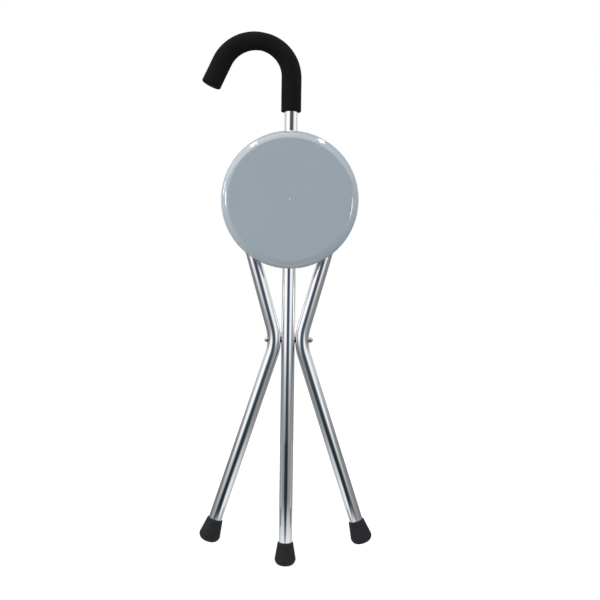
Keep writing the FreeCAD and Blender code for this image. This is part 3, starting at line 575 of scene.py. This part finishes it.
def build_world():
    """White for the camera, soft light for matt surfaces, and a bright sky for shiny ones."""
    world = bpy.data.worlds.new("studio")
    bpy.context.scene.world = world
    world.use_nodes = True
    graph = Graph(world.node_tree)
    direction = graph.add("TexCoord").outputs["Generated"]
    across, along, up = graph.add("SeparateXYZ", {"Vector": direction}).outputs
    side = compass(graph, across, along)
    height = graph.math("DEGREES", graph.math("ARCSINE", up))
    by_height = graph.stepped(height, SKY_BY_HEIGHT)
    by_side = graph.stepped(side, SKY_BY_SIDE)
    sky = scaled(graph, SKY, graph.math("MULTIPLY", by_height, by_side))
    path = graph.add("LightPath").outputs
    light = graph.mixed(path["Is Glossy Ray"], SOFT_LIGHT, sky)
    light = graph.mixed(seen_straight(graph, path), light, (1, 1, 1))
    graph.finish("World", graph.add("Background", {"Color": light}).outputs[0])


def build_screen():
    """A round screen that only shiny surfaces see, with the dark flag before it."""
    mesh = bmesh.new()
    turns = [2 * math.pi * index / SCREEN_SIDES for index in range(SCREEN_SIDES)]
    rings = []
    for z in (0, SCREEN_TOP):
        points = [(SCREEN_RADIUS * math.sin(turn), SCREEN_RADIUS * math.cos(turn), z) for turn in turns]
        rings.append([mesh.verts.new(point) for point in points])
    join_rings(mesh, *rings)
    screen = staged(mesh, "screen")
    screen.visible_camera = False
    screen.visible_diffuse = False
    screen.visible_transmission = False
    screen.visible_shadow = False

    material, graph = new_material("studio_screen")
    place = graph.add("NewGeometry").outputs["Position"]
    across, along, height = graph.add("SeparateXYZ", {"Vector": place}).outputs
    side = compass(graph, across, along)
    lowered = graph.math("SUBTRACT", height, graph.stepped(side, SCREEN_RISE))
    lit = scaled(graph, graph.graded(lowered, SCREEN_BY_HEIGHT), graph.stepped(side, SCREEN_BY_SIDE))
    middle = graph.stepped(height, FLAG_MIDDLE)
    half_width = graph.stepped(height, FLAG_HALF_WIDTH)
    flag = within(graph, side, middle, half_width, FLAG_SOFTNESS)
    colour = graph.mixed(flag, lit, graph.graded(height, FLAG_COLOUR))
    middle, width, foot, head, strength = SCREEN_LAMP
    wide = within(graph, side, middle, width / 2, width / 4)
    tall = within(graph, height, (foot + head) / 2, (head - foot) / 2, (head - foot) / 4)
    lamp = graph.math("MULTIPLY", graph.math("MULTIPLY", wide, tall), strength)
    colour = graph.mixed(1.0, colour, scaled(graph, SKY, lamp), "ADD")
    graph.finish("Material", graph.add("Emission", {"Color": colour}).outputs[0])
    screen.data.materials.append(material)


def build_floor():
    """A large pale floor that keeps the object's shadow. From below it is left open."""
    mesh = bmesh.new()
    mesh.faces.new([mesh.verts.new((*corner, 0)) for corner in FLOOR_CORNERS])
    floor = staged(mesh, "floor")

    material, graph = new_material("studio_floor")
    path = graph.add("LightPath").outputs
    seen = seen_straight(graph, path)
    paint = graph.mixed(seen, FLOOR_BOUNCE, FLOOR_PAINT)
    matt = graph.add("BsdfDiffuse", {"Color": paint}).outputs[0]
    lift = graph.add("Emission", {"Strength": graph.math("MULTIPLY", seen, FLOOR_LIFT)}).outputs[0]
    pale = graph.add("AddShader", {0: matt, 1: lift}).outputs[0]
    place = graph.add("NewGeometry").outputs["Position"]
    across, along, _ = graph.add("SeparateXYZ", {"Vector": place}).outputs
    squares = [graph.math("POWER", distance, 2) for distance in (across, along)]
    away = graph.math("SQRT", graph.math("ADD", *squares))
    side = compass(graph, across, along)
    # A painted pool of light round the stick, and painted shade from the flag in front of it
    near = graph.between(away, GLOW_START, GLOW_END, 1, 0, "SMOOTHSTEP")
    glow = graph.math("MULTIPLY", near, graph.stepped(side, GLOW_BY_SIDE))
    lit = graph.mixed(glow, FLOOR_COLOUR, GLOW_COLOUR)
    half_width = graph.stepped(away, FLOOR_FLAG_SHADE_HALF_WIDTH)
    flag = within(graph, side, FLOOR_FLAG_SHADE_MIDDLE, half_width, FLAG_SOFTNESS)
    colour = graph.mixed(flag, lit, FLOOR_FLAG_SHADE_COLOUR)
    mirrored = graph.add("Emission", {"Color": colour}).outputs[0]
    top = graph.add("MixShader", {0: path["Is Glossy Ray"], 1: pale, 2: mirrored}).outputs[0]
    clear = graph.add("BsdfTransparent").outputs[0]
    under = graph.add("NewGeometry").outputs["Backfacing"]
    graph.finish("Material", graph.add("MixShader", {0: under, 1: top, 2: clear}).outputs[0])
    floor.data.materials.append(material)


def area_lamp(name, place, outwards, along, width, length, power):
    """A lamp that faces inwards and that no camera sees, its length running along the given way."""
    data = bpy.data.lights.new(name, "AREA")
    data.shape = "RECTANGLE"
    data.size = width
    data.size_y = length
    data.energy = power
    lamp = bpy.data.objects.new(name, data)
    lamp.location = place
    axes = Matrix((along.cross(outwards), along, outwards)).transposed()
    lamp.rotation_mode = "QUATERNION"
    lamp.rotation_quaternion = axes.to_quaternion()
    lamp.visible_camera = False
    lamp.visible_transmission = False
    bpy.context.scene.collection.objects.link(lamp)
    return lamp


def build_soft_lamps():
    """Soft lamps that only light matt surfaces."""
    for name, (towards, power) in SOFT_LAMPS.items():
        outwards = towards.normalized()
        along = outwards.cross(Vector((0, 0, 1)).cross(outwards)).normalized()
        place = LAMP_AIM + outwards * LAMP_DISTANCE
        area_lamp(name, place, outwards, along, LAMP_SIZE, LAMP_SIZE, power).visible_glossy = False


def build_seat_lamps():
    """Bright lamps that only the seat mirrors."""
    seat = frame["nodes"]["seat_shell"]
    mirror = bpy.data.collections.new("seat_mirror")
    mirror.objects.link(seat)

    def add(name, place, outwards, along, width, length, strength):
        """A lamp for the seat alone, so bright."""
        power = strength * width * length * WATTS_PER_AREA
        lamp = area_lamp(name, place, outwards, along, width, length, power)
        lamp.data.color = SKY
        lamp.visible_diffuse = False
        lamp.light_linking.receiver_collection = mirror

    low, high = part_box("seat_shell")
    middle = (low + high) / 2
    for index, towards in enumerate(STRIP_LAMPS):
        outwards = towards.normalized()
        along = outwards.cross(Vector((0, -1, 0))).normalized().cross(outwards)
        place = middle + outwards * STRIP_DISTANCE
        add(f"strip_{index}", place, outwards, along, STRIP_WIDTH, STRIP_LENGTH, STRIP_STRENGTH)
    for index, (side, width, foot, head, strength) in enumerate(GLINT_LAMPS):
        turn = math.radians(side)
        outwards = Vector((math.sin(turn), -math.cos(turn), 0))
        place = outwards * GLINT_RADIUS + Vector((0, 0, (foot + head) / 2))
        broad = GLINT_RADIUS * math.radians(width)
        add(f"glint_{index}", place, outwards, Vector((0, 0, 1)), broad, head - foot, strength)


def build_camera():
    """The photograph's camera: level, square to the seat and a little rolled."""
    data = bpy.data.cameras.new("camera")
    data.lens = CAMERA_LENS
    camera = bpy.data.objects.new("camera", data)
    camera.location = CAMERA_PLACE
    camera.rotation_mode = "QUATERNION"
    level = Quaternion((1, 0, 0), math.pi / 2)
    camera.rotation_quaternion = level @ Quaternion((0, 0, 1), CAMERA_ROLL)
    bpy.context.scene.collection.objects.link(camera)
    bpy.context.scene.camera = camera


# The scene

makers = (chromed_tube, black_foam, black_rubber, seat_plastic, nylon, zinc_plated_steel, bracket_steel)
materials = {maker.__name__: maker() for maker in makers}
for subpart in frame["record"]["subparts"]:
    node = frame["nodes"][subpart["node"]]
    for slot in node.material_slots:
        slot.material = materials[subpart["material_slot"]]

grip = build_grip()
grip.data.materials.append(materials["black_foam"])
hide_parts("foam_grip")
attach(grip, "cane")

build_world()
build_screen()
build_floor()
build_soft_lamps()
build_seat_lamps()
build_camera()
bpy.context.scene.view_settings.view_transform = "Standard"
